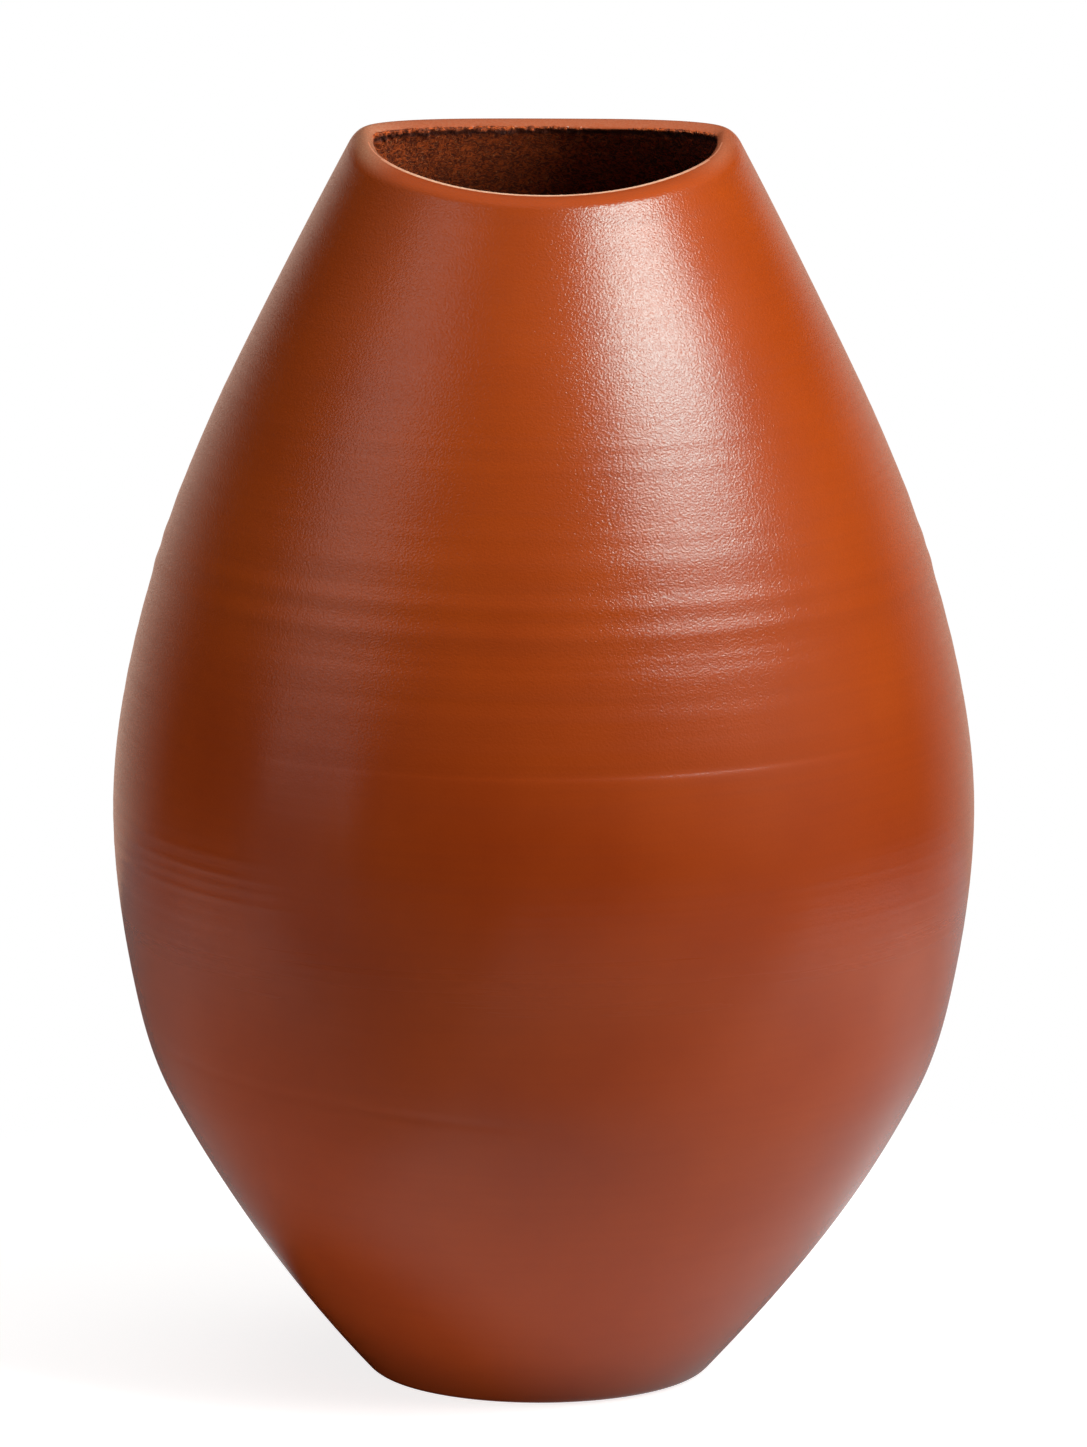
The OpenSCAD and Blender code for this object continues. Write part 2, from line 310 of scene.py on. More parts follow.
def clayPiece(name, node, rows, skins, sharpRows, materials, closed=True):
    # rows of rings, each with one skin number for the faces up to the next row, or one for each face
    grid = settle(np.array(rows))
    count, sides = grid.shape[:2]
    spans = count if closed else count - 1
    j, i = np.meshgrid(np.arange(spans), np.arange(sides), indexing="ij")
    nextJ, nextI = (j + 1) % count, (i + 1) % sides
    quads = np.stack([j * sides + i, j * sides + nextI, nextJ * sides + nextI, nextJ * sides + i], -1)
    faces = quads.reshape(-1, 4).tolist()
    skin = np.broadcast_to(np.asarray(skins)[:spans].reshape(spans, -1), (spans, sides)).ravel().tolist()
    points = (grid.reshape(-1, 3) * mm).tolist()
    if not closed:  # a disc: close both ends with a fan to the axis
        for ring, flip in ((0, True), (count - 1, False)):
            middle = len(points)
            points.append(grid[ring].mean(axis=0) * mm)
            for k in range(sides):
                a, b = ring * sides + k, ring * sides + (k + 1) % sides
                faces.append([middle, b, a] if flip else [middle, a, b])
                skin.append(skins[0] if flip else skins[spans - 1])
    mesh = bpy.data.meshes.new(name)
    mesh.from_pydata(points, [], faces)
    mesh.polygons.foreach_set("use_smooth", [True] * len(faces))
    mesh.polygons.foreach_set("material_index", skin)
    ends = np.zeros(len(mesh.edges) * 2, int)
    mesh.edges.foreach_get("vertices", ends)
    ends = ends.reshape(-1, 2) // sides
    sharp = (ends[:, 0] == ends[:, 1]) & np.isin(ends[:, 0], sharpRows)
    mesh.attributes.new("sharp_edge", "BOOLEAN", "EDGE").data.foreach_set("value", sharp)
    mesh.validate()
    mesh.update()
    for material in materials:
        mesh.materials.append(material)
    piece = bpy.data.objects.new(name, mesh)
    bpy.context.scene.collection.objects.link(piece)
    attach(piece, "root")
    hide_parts(node)
    print("made", name, len(faces), "faces")
    return piece


def hexColour(code):
    # sRGB hex to linear, as the shaders take it
    values = [int(code[k:k + 2], 16) / 255 for k in (1, 3, 5)]
    return [v / 12.92 if v <= 0.04045 else ((v + 0.055) / 1.055) ** 2.4 for v in values] + [1]


def addNode(tree, kind, inputs=(), **settings):
    # a list fills the sockets in their order, a dictionary the ones that it names or numbers
    node = tree.nodes.new(kind)
    for key, value in settings.items():
        setattr(node, key, value)
    for socket, value in inputs.items() if isinstance(inputs, dict) else enumerate(inputs):
        if isinstance(value, bpy.types.NodeSocket):
            tree.links.new(value, node.inputs[socket])
        else:
            node.inputs[socket].default_value = value
    return node


smoothly = {"interpolation_type": "SMOOTHSTEP"}
colourMix = {"data_type": "RGBA"}  # sockets: 0 share, 6 and 7 the two colours


def newMaterial(name):
    material = bpy.data.materials.new(name)
    material.use_nodes = True
    return material, material.node_tree, material.node_tree.nodes["Principled BSDF"]


def perMetre(sizeMm):
    return 1 / (sizeMm * mm)


def metres(*sizesMm):
    return [size * mm for size in sizesMm]


def belowMouth(tree, place):
    # depth below the slanting plane of the mouth
    down = addNode(tree, "ShaderNodeVectorMath", [place, (0, float(mouthSlant(1)), -1)],
                   operation="DOT_PRODUCT")
    return addNode(tree, "ShaderNodeMath", [down.outputs["Value"], rimZ * mm], operation="ADD").outputs[0]


# Terracotta, thrown and burnished while leather-hard: satin, with a fine orange peel, faint streaks
# along the wheel's turn, and soft mottling where it was rubbed more or less. The clay itself gives a
# broad soft shine, and the burnish is a coat over it. The peel is drawn coarse enough to show.
# Sizes, heights and depths are in mm, and a band is the span of a noise over which its pattern sets in.
burnished = {
    # the palest colour here is partly dust, partly painted sheen on the lip's ends and back
    "clay": "#c25012", "deep": "#a83d0b", "streak": "#9a390b", "dust": "#a9624a", "lipDustAndSheen": "#dba684",
    "ior": 1.31, "roughness": (0.2, 0.24), "roughBand": (0.3, 0.7), "rubbedShare": 1.65,
    "mottle": 60, "mottleBand": (0.3, 0.7), "mottleShare": 0.5, "deepZ": (280, 190), "deepShare": 0.5,
    "streakLong": 90, "streakHigh": 2.2, "streakBand": (0.45, 0.75), "streakShare": 0.12, "streakDepth": 0.03,
    "grit": 0.7, "gritBand": (0.6, 0.8), "gritShare": 0.1,
    "peelLong": 0.75, "peelHigh": 0.62, "peelZ": (205, 265), "peelLeast": 0.25,
    "peelDepth": 0.08, "coatPeelDepth": 0.15,
    "dustZ": (176, 146), "dustShare": 0.16,
    "lipDeep": (0.3, 3.6), "lipDustAndSheenShare": 0.22, "lipBehind": (-36, -8), "lipLeft": (-38, -58),
    "lipLeftShare": 2.5, "lipBand": (0.35, 0.65), "lipUneven": (0.75, 1.25),
    "burnish": 1.0, "burnishZ": (115, 200), "burnishRoughness": 0.15, "burnishIor": 1.55,
    "spark": 0.55, "sparkBand": (0.3, 0.7), "sparkShare": (0.55, 1.2),
}


def burnishedTerracotta():
    material, tree, shader = newMaterial("terracotta_burnished")
    place = addNode(tree, "ShaderNodeTexCoord").outputs["Object"]
    x, y, z = addNode(tree, "ShaderNodeSeparateXYZ", [place]).outputs
    mottle = addNode(tree, "ShaderNodeTexNoise", {
        "Vector": place, "Scale": perMetre(burnished["mottle"]), "Detail": 4})
    wheel = addNode(tree, "ShaderNodeMapping", {"Vector": place, "Scale": [
        perMetre(burnished[size]) for size in ("streakLong", "streakLong", "streakHigh")]})
    streak = addNode(tree, "ShaderNodeTexNoise", {"Vector": wheel.outputs[0], "Scale": 1, "Detail": 2})
    skin = addNode(tree, "ShaderNodeMapping", {"Vector": place, "Scale": [
        perMetre(burnished[size]) for size in ("peelLong", "peelLong", "peelHigh")]})
    peel = addNode(tree, "ShaderNodeTexNoise", {"Vector": skin.outputs[0], "Scale": 1, "Detail": 1.5})
    grit = addNode(tree, "ShaderNodeTexNoise", {
        "Vector": place, "Scale": perMetre(burnished["grit"]), "Detail": 1})
    # the belly took the most heat and is a little deeper than the neck
    belly = addNode(tree, "ShaderNodeMapRange", [
        z, *metres(*burnished["deepZ"]), 0, burnished["deepShare"]], **smoothly)
    mottled = addNode(tree, "ShaderNodeMapRange", [
        mottle.outputs[0], *burnished["mottleBand"], 0, burnished["mottleShare"]])
    mottled = addNode(tree, "ShaderNodeMath", [mottled.outputs[0], belly.outputs[0]], operation="ADD")
    colour = addNode(tree, "ShaderNodeMix", {
        0: mottled.outputs[0], 6: hexColour(burnished["clay"]), 7: hexColour(burnished["deep"])}, **colourMix)
    streaked = addNode(tree, "ShaderNodeMapRange", [
        streak.outputs[0], *burnished["streakBand"], 0, burnished["streakShare"]])
    dusty = addNode(tree, "ShaderNodeMapRange", [
        z, *metres(*burnished["dustZ"]), 0, burnished["dustShare"]], **smoothly)
    gritty = addNode(tree, "ShaderNodeMapRange", [
        grit.outputs[0], *burnished["gritBand"], 0, burnished["gritShare"]])
    # the lip is paler at its ends and back, down to a few millimetres below the plane of the mouth: partly
    # dust, partly painted sheen, and raised at the left end, where it is partly painted highlight
    lipDustAndSheen = addNode(tree, "ShaderNodeMapRange", [
        belowMouth(tree, place), *metres(*burnished["lipDeep"]), burnished["lipDustAndSheenShare"], 0], **smoothly)
    behind = addNode(tree, "ShaderNodeMapRange", [y, *metres(*burnished["lipBehind"])], **smoothly)
    leftEnd = addNode(tree, "ShaderNodeMapRange", [
        x, *metres(*burnished["lipLeft"]), 1, burnished["lipLeftShare"]], **smoothly)
    uneven = addNode(tree, "ShaderNodeMapRange", [
        grit.outputs[0], *burnished["lipBand"], *burnished["lipUneven"]])
    for share in (behind, leftEnd, uneven):
        lipDustAndSheen = addNode(tree, "ShaderNodeMath", [lipDustAndSheen.outputs[0], share.outputs[0]],
                          operation="MULTIPLY")
    for share, tint in ((streaked, "streak"), (dusty, "dust"), (gritty, "streak"), (lipDustAndSheen, "lipDustAndSheen")):
        colour = addNode(tree, "ShaderNodeMix", {
            0: share.outputs[0], 6: colour.outputs[2], 7: hexColour(burnished[tint])}, **colourMix)
    tree.links.new(colour.outputs[2], shader.inputs["Base Color"])
    # the peel shows from the shoulder up, where the skin was rubbed last
    peeled = addNode(tree, "ShaderNodeMapRange", [
        z, *metres(*burnished["peelZ"]), burnished["peelLeast"], 1], **smoothly)
    peel = addNode(tree, "ShaderNodeMath", [peel.outputs[0], peeled.outputs[0]], operation="MULTIPLY")
    streakBump = addNode(tree, "ShaderNodeBump", {
        "Height": streak.outputs[0], "Strength": 1, "Distance": burnished["streakDepth"] * mm})
    for depth, normal in (("peelDepth", "Normal"), ("coatPeelDepth", "Coat Normal")):
        bump = addNode(tree, "ShaderNodeBump", {
            "Height": peel.outputs[0], "Strength": 1, "Distance": burnished[depth] * mm,
            "Normal": streakBump.outputs[0]})
        tree.links.new(bump.outputs[0], shader.inputs[normal])
    # the rubbed skin is full from the belly up, and thin where the foot was turned
    rubbed = addNode(tree, "ShaderNodeMapRange", [
        z, *metres(*burnished["burnishZ"]), 0, burnished["burnish"]], **smoothly)
    broader = addNode(tree, "ShaderNodeMapRange", [rubbed.outputs[0], 0, 1, 1, burnished["rubbedShare"]])
    rough = addNode(tree, "ShaderNodeMapRange", [
        streak.outputs[0], *burnished["roughBand"], *burnished["roughness"]])
    rough = addNode(tree, "ShaderNodeMath", [rough.outputs[0], broader.outputs[0]], operation="MULTIPLY")
    tree.links.new(rough.outputs[0], shader.inputs["Roughness"])
    spark = addNode(tree, "ShaderNodeTexNoise", {
        "Vector": place, "Scale": perMetre(burnished["spark"]), "Detail": 0})
    sparkling = addNode(tree, "ShaderNodeMapRange", [
        spark.outputs[0], *burnished["sparkBand"], *burnished["sparkShare"]])
    rubbed = addNode(tree, "ShaderNodeMath", [rubbed.outputs[0], sparkling.outputs[0]], operation="MULTIPLY")
    tree.links.new(rubbed.outputs[0], shader.inputs["Coat Weight"])
    shader.inputs["IOR"].default_value = burnished["ior"]
    shader.inputs["Coat Roughness"].default_value = burnished["burnishRoughness"]
    shader.inputs["Coat IOR"].default_value = burnished["burnishIor"]
    return material


# Terracotta left as it was thrown, inside the pot: matt, dark and coarse, with worm-like grog drags, and a
# band of painted shade just under the torn edge
raw = {
    # the darkest colour here is painted shade, for the band just under the torn edge
    "clay": "#d05c1c", "dark": "#78300c", "pale": "#dd8f58", "underEdgeShade": "#3a1206",
    "roughness": 0.85, "ior": 1.5,
    "drag": 1.9, "dragTwist": 1.6, "dragBand": (0.41, 0.6), "dragDepth": 1.1,
    "grog": 0.9, "grogBand": (0.6, 0.75), "grogShare": 0.6, "grogDepth": 0.4,
    "underEdgeShadeTop": (1.9, 2.5), "underEdgeShadeFoot": (3.4, 4.6), "underEdgeShadeShare": 0.8,  # mm below the mouth's plane
}


def rawTerracotta():
    material, tree, shader = newMaterial("terracotta_raw_thrown")
    place = addNode(tree, "ShaderNodeTexCoord").outputs["Object"]
    drag = addNode(tree, "ShaderNodeTexNoise", {
        "Vector": place, "Scale": perMetre(raw["drag"]), "Detail": 4, "Distortion": raw["dragTwist"]})
    grog = addNode(tree, "ShaderNodeTexNoise", {"Vector": place, "Scale": perMetre(raw["grog"]), "Detail": 2})
    dragged = addNode(tree, "ShaderNodeMapRange", [drag.outputs[0], *raw["dragBand"]])
    colour = addNode(tree, "ShaderNodeMix", {
        0: dragged.outputs[0], 6: hexColour(raw["dark"]), 7: hexColour(raw["clay"])}, **colourMix)
    specks = addNode(tree, "ShaderNodeMapRange", [grog.outputs[0], *raw["grogBand"], 0, raw["grogShare"]])
    # painted shade in a band just under the torn edge, where the overhanging lip would shade the wall
    depth = belowMouth(tree, place)
    below = addNode(tree, "ShaderNodeMapRange", [depth, *metres(*raw["underEdgeShadeTop"]), 0, raw["underEdgeShadeShare"]])
    above = addNode(tree, "ShaderNodeMapRange", [depth, *metres(*raw["underEdgeShadeFoot"]), 1, 0])
    paintedShade = addNode(tree, "ShaderNodeMath", [below.outputs[0], above.outputs[0]], operation="MULTIPLY")
    for share, tint in ((specks, "pale"), (paintedShade, "underEdgeShade")):
        colour = addNode(tree, "ShaderNodeMix", {
            0: share.outputs[0], 6: colour.outputs[2], 7: hexColour(raw[tint])}, **colourMix)
    tree.links.new(colour.outputs[2], shader.inputs["Base Color"])
    dragBump = addNode(tree, "ShaderNodeBump", {"Height": drag.outputs[0], "Distance": raw["dragDepth"] * mm})
    grogBump = addNode(tree, "ShaderNodeBump", {
        "Height": grog.outputs[0], "Distance": raw["grogDepth"] * mm, "Normal": dragBump.outputs[0]})
    tree.links.new(grogBump.outputs[0], shader.inputs["Normal"])
    shader.inputs["Roughness"].default_value = raw["roughness"]
    shader.inputs["IOR"].default_value = raw["ior"]
    return material


# Painted highlight along the crisp inner edge of the front lip: a pale colour that gives the eye a thin cream
# line
paintedEdgeHighlight = {
    # the pale colour is a painted highlight on the edge
    "pale": "#ffcaa6", "clay": "#c25012",
    "paleTo": 40, "clayFrom": 64, "roughness": 0.4,  # pale and clay by mm to either side of the middle
    "lineBreak": 2.0, "lineBreakBand": (0.3, 0.6), "lineBreakLeast": 0.7,
}


def edgeHighlightTerracotta():
    material, tree, shader = newMaterial("terracotta_painted_edge_highlight")
    place = addNode(tree, "ShaderNodeTexCoord").outputs["Object"]
    x = addNode(tree, "ShaderNodeSeparateXYZ", [place]).outputs[0]
    sideways = addNode(tree, "ShaderNodeMath", [x], operation="ABSOLUTE")
    lineBreaks = addNode(tree, "ShaderNodeTexNoise", {
        "Vector": place, "Scale": perMetre(paintedEdgeHighlight["lineBreak"]), "Detail": 2})
    lineBreaks = addNode(tree, "ShaderNodeMapRange", [lineBreaks.outputs[0], *paintedEdgeHighlight["lineBreakBand"], paintedEdgeHighlight["lineBreakLeast"], 1])
    highlighted = addNode(tree, "ShaderNodeMapRange", [
        sideways.outputs[0], *metres(paintedEdgeHighlight["paleTo"], paintedEdgeHighlight["clayFrom"]), 1, 0])
    highlighted = addNode(tree, "ShaderNodeMath", [highlighted.outputs[0], lineBreaks.outputs[0]], operation="MULTIPLY")
    colour = addNode(tree, "ShaderNodeMix", {
        0: highlighted.outputs[0], 6: hexColour(paintedEdgeHighlight["clay"]), 7: hexColour(paintedEdgeHighlight["pale"])}, **colourMix)
    tree.links.new(colour.outputs[2], shader.inputs["Base Color"])
    shader.inputs["Roughness"].default_value = paintedEdgeHighlight["roughness"]
    return material


outside = burnishedTerracotta()
inside = rawTerracotta()
highlightEdge = edgeHighlightTerracotta()
print("materials mixed")

# Thrown walls: mm of height from row to row, close where the finger marks are fine
wallRows = {"lowerBody": 2.4, "belly": 0.6, "shoulder": 0.8, "neck": 1.2, "inside": 4, "seam": 0.12}


def risingRows(z0, z1, step):
    # a narrow first and last row keep the shading even across the seams
    middle = np.linspace(z0, z1, math.ceil((z1 - z0) / step) + 1)[1:-1]
    return np.array([z0, z0 + wallRows["seam"], *middle, z1 - wallRows["seam"], z1])


def thrownWall(name, node, outer, inner):
    # a wall between two seams, with the groove on top and the ridge below
    rows = [*outer, *grooveRings(outer[-1], inner[0]), *inner, *ridgeRings(outer[0], inner[-1])]
    last = len(outer) - 1
    skins = [0] * last + [1] * (len(rows) - last)
    # the shading breaks at the corners of the groove and the ridge
    sharpRows = [0, *range(last, last + 5), *range(last + 3 + len(inner), len(rows))]
    return clayPiece(name, node, rows, skins, sharpRows, [outside, inside])


def turnedSection(name, node, z0, z1, step):
    outer = np.array([roundRing(outerRadius(z), z) for z in risingRows(z0, z1, step)])
    outer = pushOut(outer, fingerRelief(outer))
    inner = [roundRing(innerRadius(z), z) for z in risingRows(z0, z1, wallRows["inside"])[::-1]]
    return thrownWall(name, node, outer, inner)


turnedSection("lowerBodyWall", "lower_body", floorZ, knuckleZ, wallRows["lowerBody"])
turnedSection("bellyWall", "belly", knuckleZ, bellySeamZ, wallRows["belly"])
turnedSection("shoulderWall", "shoulder", bellySeamZ, neckZ, wallRows["shoulder"])

# Finger drags and grog on the inside of the neck and lip: how proud and how wide in mm, and a seed
insideLumps = ((0.22, 2.6, 5), (0.2, 7.0, 6), (0.12, 1.4, 7))


def innerRough(grid):
    flat = grid.reshape(-1, 3)
    return sum(proud * lumps(flat, wide, seed) for proud, wide, seed in insideLumps).reshape(grid.shape[:2])


neckShape = {"around": 480, "roughFrom": (0, 0.1)}  # levels over which the rough inside sets in
lipLevel = 1 - potMouth["lipHeight"] / (rimZ - neckZ)


def neckSection():
    levels = (risingRows(neckZ, mix(neckZ, rimZ, lipLevel), wallRows["neck"]) - neckZ) / (rimZ - neckZ)
    outer = np.array([wallRing(t, 1, neckShape["around"]) for t in levels])
    outer = pushOut(outer, fingerRelief(outer))
    inner = np.array([wallRing(t, 0, neckShape["around"]) for t in levels[::-1]])
    inner = pushOut(inner, innerRough(inner) * smooth(*neckShape["roughFrom"], levels[::-1])[:, None])
    return thrownWall("neckWall", "neck", outer, inner)


neckSection()

# The lip rounds over to a crest, and a face falls from there to the inside. Its front is crisp, and the
# inner edge at the back is torn, most of all on the left. Three values are for the ends, back and front.
lipShape = {
    "around": 960, "round": (5, 2.5, 2.75), "face": (3.25, 5, 1.25), "fall": (1.5, 1.75, 1.25),
    "faceBow": (1.5, 1.5, 2), "flare": (0.75, 0.75, 0), "square": (2, 2, 2.7),
    "toBack": (0.05, 0.6), "toFront": (0.25, 0.8),  # sines of the turn over which the ends go over
    "wallRows": (0, 0.02, 0.2, 0.4, 0.6, 0.8), "roundRows": 17, "insideRows": 24, "edgeRows": 16,
    "burrTall": 1.7, "burrSwell": 0.3, "crumb": 1.5, "crumbShare": 0.6, "clump": 6.0, "clumpShare": 0.5,
    "tornBehind": (2, 9), "tornLeft": (-60, -52), "tornRight": (-5, 20), "tornRightShare": 0.25,
    "shadedRight": (22, 40), "rawFrom": 0.3,
    "highlightBands": ((2, 4, 0.4), (1, 2, 0.12)),  # rows before and after the crest, and from which sine
}


def onLip(key):
    s = np.sin(turns(lipShape["around"]))
    atEnds, atBack, atFront = lipShape[key]
    return (atEnds + (atBack - atEnds) * smooth(*lipShape["toBack"], s)
            + (atFront - atEnds) * smooth(*lipShape["toFront"], -s))


def lipSection():
    count, rise = lipShape["around"], rimZ - neckZ
    crest, flare = onLip("face") / potOutline["wall"], onLip("flare") / potOutline["wall"]
    roundFrom, edgeFrom = 1 - onLip("round") / rise, 1 - onLip("fall") / rise
    square, bow = 2 / onLip("square"), 2 / onLip("faceBow")
    quarter = np.linspace(0, np.pi / 2, lipShape["roundRows"])
    outer = [wallRing(mix(lipLevel, roundFrom, t), 1, count) for t in lipShape["wallRows"]]
    outer += [wallRing(mix(roundFrom, 1, np.sin(a) ** square), mix(crest, 1, abs(np.cos(a)) ** square), count)
              for a in quarter]
    face = [wallRing(mix(edgeFrom, 1, abs(np.cos(a)) ** bow), mix(crest, flare, np.sin(a) ** bow), count)
            for a in quarter[1:]]
    downRows = [*np.linspace(0, 0.98, lipShape["insideRows"])[1:], 0.99, 1]  # narrow rows at the seam
    inner = [wallRing(mix(edgeFrom, lipLevel, t), mix(flare, 0, t), count) for t in downRows]
    grid = np.array([*outer, *face, *inner])
    flat = grid.reshape(-1, 3)
    x, y = grid[..., 0], grid[..., 1]
    # rows on both sides of the inner edge
    nearEdge = np.zeros((len(grid), 1))
    first = len(outer) + len(face) - lipShape["edgeRows"] // 2
    nearEdge[first:first + lipShape["edgeRows"], 0] = np.sin(np.linspace(0, np.pi, lipShape["edgeRows"]))
    # crumbs of clay pushed over the inner edge at the back
    crumbs = lumps(flat, lipShape["crumb"], 3)
    crumbs += lipShape["crumbShare"] * lumps(flat, lipShape["crumb"] / 2, 4)
    clumps = mix(1, lumps(flat, lipShape["clump"], 8), lipShape["clumpShare"])
    behind = smooth(*lipShape["tornBehind"], y) * nearEdge
    torn = behind * mix(1, lipShape["tornRightShare"], smooth(*lipShape["tornRight"], x))
    torn *= smooth(*lipShape["tornLeft"], x)
    burr = lipShape["burrTall"] * ((lipShape["burrSwell"] + crumbs) * clumps).reshape(x.shape) * torn
    # the finger marks end at the crest, and the rough inside begins below the edge
    fadeIn = np.concatenate([np.linspace(1, 0, len(outer)), np.zeros(len(face) + len(inner))])
    fadeOut = smooth(0, lipShape["edgeRows"] / 2, np.arange(len(grid)) - len(outer) - len(face))
    push = fingerRelief(grid) * fadeIn[:, None] + innerRough(grid) * fadeOut[:, None]
    grid = pushOut(grid, push) + gridNormals(grid) * burr[..., None]
    rows = [*grid, *ridgeRings(grid[0], grid[-1])]
    skins = np.zeros((len(rows), count), int)
    skins[len(outer) + len(face) - 1:] = 1
    # bare clay shows where the edge is torn; along it at the right of the back, the raw clay is painted shade
    # on the lip's face
    bareAndShaded = torn + behind * smooth(*lipShape["shadedRight"], x)
    skins[:len(grid)][bareAndShaded > lipShape["rawFrom"]] = 1
    # the painted highlight line gets thinner towards the ends
    for before, after, fromSine in lipShape["highlightBands"]:
        skins[len(outer) - before:len(outer) + after, np.sin(turns(count)) < -fromSine] = 2
    sharpRows = [0, *range(len(grid) - 1, len(rows))]
    return clayPiece("lipCoil", "lip", rows, skins, sharpRows,
                     [outside, inside, highlightEdge])


lipSection()

# The floor of the pot, with turning rings in the hollow under the foot
baseSlab = {
    "hollowDiameter": 78, "hollowDepth": 2, "hollowEdge": (0.3, 0.2),
    "turningPitch": 3.5, "turningDepth": 0.12, "middle": 1, "underStep": 0.7, "edgeRows": 13, "sideRows": 5,
    "marksFrom": (0, 6), "floorStep": 4,
}


def baseSection():
    hollowR, deep = baseSlab["hollowDiameter"] / 2, baseSlab["hollowDepth"]
    edgeIn, edgeOut = baseSlab["hollowEdge"]
    under = [(r, deep + baseSlab["turningDepth"] * math.sin(2 * math.pi * r / baseSlab["turningPitch"]))
             for r in np.arange(baseSlab["middle"], hollowR - deep, baseSlab["underStep"])]
    under += [(hollowR - deep, deep), (hollowR - edgeIn, edgeIn), (hollowR + edgeOut, 0)]
    edge = [(potOutline["footDiameter"] / 2 + potOutline["footRound"] * math.sin(a),
             potOutline["footRound"] * (1 - math.cos(a)))
            for a in np.linspace(0, footTurn, baseSlab["edgeRows"])]
    wallUp = [(float(outerRadius(z)), z) for z in np.linspace(footTopZ, floorZ, baseSlab["sideRows"])[1:]]
    rows = [roundRing(r, z) for r, z in [*under, *edge, *wallUp]]
    firstSide, lastSide = len(under), len(rows) - 1
    side = np.array(rows[firstSide:])
    rows[firstSide:] = list(pushOut(side, fingerRelief(side) * smooth(*baseSlab["marksFrom"], side[..., 2])))
    insideR = innerRadius(floorZ)
    rows += grooveRings(rows[-1], roundRing(insideR, floorZ))
    rows += [roundRing(r, floorZ) for r in np.arange(insideR, baseSlab["middle"], -baseSlab["floorStep"])]
    skins = [1] * (firstSide - 1) + [0] * (lastSide - firstSide + 1) + [1] * (len(rows) - lastSide)
    sharpRows = [firstSide - 2, firstSide - 1, *range(lastSide, lastSide + 4)]
    return clayPiece("baseSlab", "base_slab", rows, skins, sharpRows, [outside, inside],
                     closed=False)


baseSection()

# Studio: a tall soft box on the right, a white card on the left, a white table, and tan paper behind.
# Turns run from the front to the right and rises from level up, in degrees. Sizes are in metres.
studioLights = {
    "keyTop": {"turn": 57, "rise": 48, "size": (2.0, 2.0), "power": 124},
    "keyLow": {"turn": 57, "rise": 26.5, "size": (2.0, 0.8), "power": 22},
    "faceTop": {"turn": 57.5, "rise": 45, "size": (2.5, 1.75), "power": 139, "roll": -11, "shade": "#ccffff"},
    "faceLow": {"turn": 52.5, "rise": 27, "size": (2.1, 0.75), "power": 19.5, "roll": -9, "shade": "#e4ffff"},
    "whiteCard": {"turn": -65.5, "rise": 36, "size": (2.1, 2.25), "power": 11.6},
    "whiteCardLow": {"turn": -65.5, "rise": 12.5, "size": (2.1, 1.1), "power": 3.2},
    "whiteCardFoot": {"turn": -65.5, "rise": 1.5, "size": (2.1, 0.45), "power": 0.75},
    "sideWall": {"turn": 75, "rise": 10, "size": (3.0, 2.5), "power": 29},
    "lowCard": {"turn": -65, "rise": 0, "size": (0.35, 0.2), "power": 0.75, "aim": 0.1, "far": 0.7},
    "ceiling": {"turn": 0, "rise": 90, "size": (4.0, 4.0), "power": 49},
}


def areaLight(name, size, power, at, back):
    # back is the way from the lit place to the light
    lamp = bpy.data.lights.new(name, "AREA")
    lamp.shape = "RECTANGLE"
    lamp.size, lamp.size_y = size
    lamp.energy = power
    light = bpy.data.objects.new(name, lamp)
    light.location = at
    light.rotation_mode = "QUATERNION"
    light.rotation_quaternion = back.to_track_quat("Z", "Y")
    bpy.context.scene.collection.objects.link(light)
    return light


def softLight(name, turn, rise, size, power, roll=0, shade="#ffffff", aim=0.28, far=4.0):
    a, e = math.radians(turn), math.radians(rise)
    back = Vector((math.sin(a) * math.cos(e), -math.cos(a) * math.cos(e), math.sin(e)))
    light = areaLight(name, size, power, Vector((0, 0, aim)) + back * far, back)
    light.rotation_quaternion = light.rotation_quaternion @ Quaternion((0, 0, 1), math.radians(roll))
    light.data.color = hexColour(shade)[:3]
    return light


# the soft box and the dim far lights light the pot, and the box's cooler face and the card show in
# the burnish
for name in ("keyTop", "keyLow", "sideWall", "lowCard", "ceiling"):
    softLight(name, **studioLights[name]).visible_glossy = False
for name in ("faceTop", "faceLow", "whiteCard", "whiteCardLow", "whiteCardFoot"):
    softLight(name, **studioLights[name]).visible_diffuse = False

# Light that comes in at the mouth and is thrown back by the front wall
insideBounce = {
    "at": Vector((0.015, -0.045, 0.368)), "to": Vector((-0.037, 0.018, 0.386)), "size": (0.02, 0.02),
    "power": 0.0032, "spread": 66,
}
bounceLight = areaLight("insideBounce", insideBounce["size"], insideBounce["power"], insideBounce["at"],
                        insideBounce["at"] - insideBounce["to"])
bounceLight.data.spread = math.radians(insideBounce["spread"])


def seenDirectly(tree):
    # 1 for rays from the camera and in reflections, 0 for light that falls on the pot
    rays = addNode(tree, "ShaderNodeLightPath").outputs
    seen = addNode(tree, "ShaderNodeMath", [rays["Is Camera Ray"], rays["Is Glossy Ray"]],
                   operation="MAXIMUM")
    return addNode(tree, "ShaderNodeMath", [seen.outputs[0], rays["Is Transmission Ray"]],
                   operation="MAXIMUM").outputs[0]


# A white room, of whose light only a small share falls on the pot
room = {"white": "#ffffff", "litShare": 0.07}
world = bpy.data.worlds.new("studio")
bpy.context.scene.world = world
world.use_nodes = True
sky = world.node_tree
background = sky.nodes["Background"]
strength = addNode(sky, "ShaderNodeMapRange", [seenDirectly(sky), 0, 1, room["litShare"], 1])
background.inputs["Color"].default_value = hexColour(room["white"])
sky.links.new(strength.outputs[0], background.inputs["Strength"])


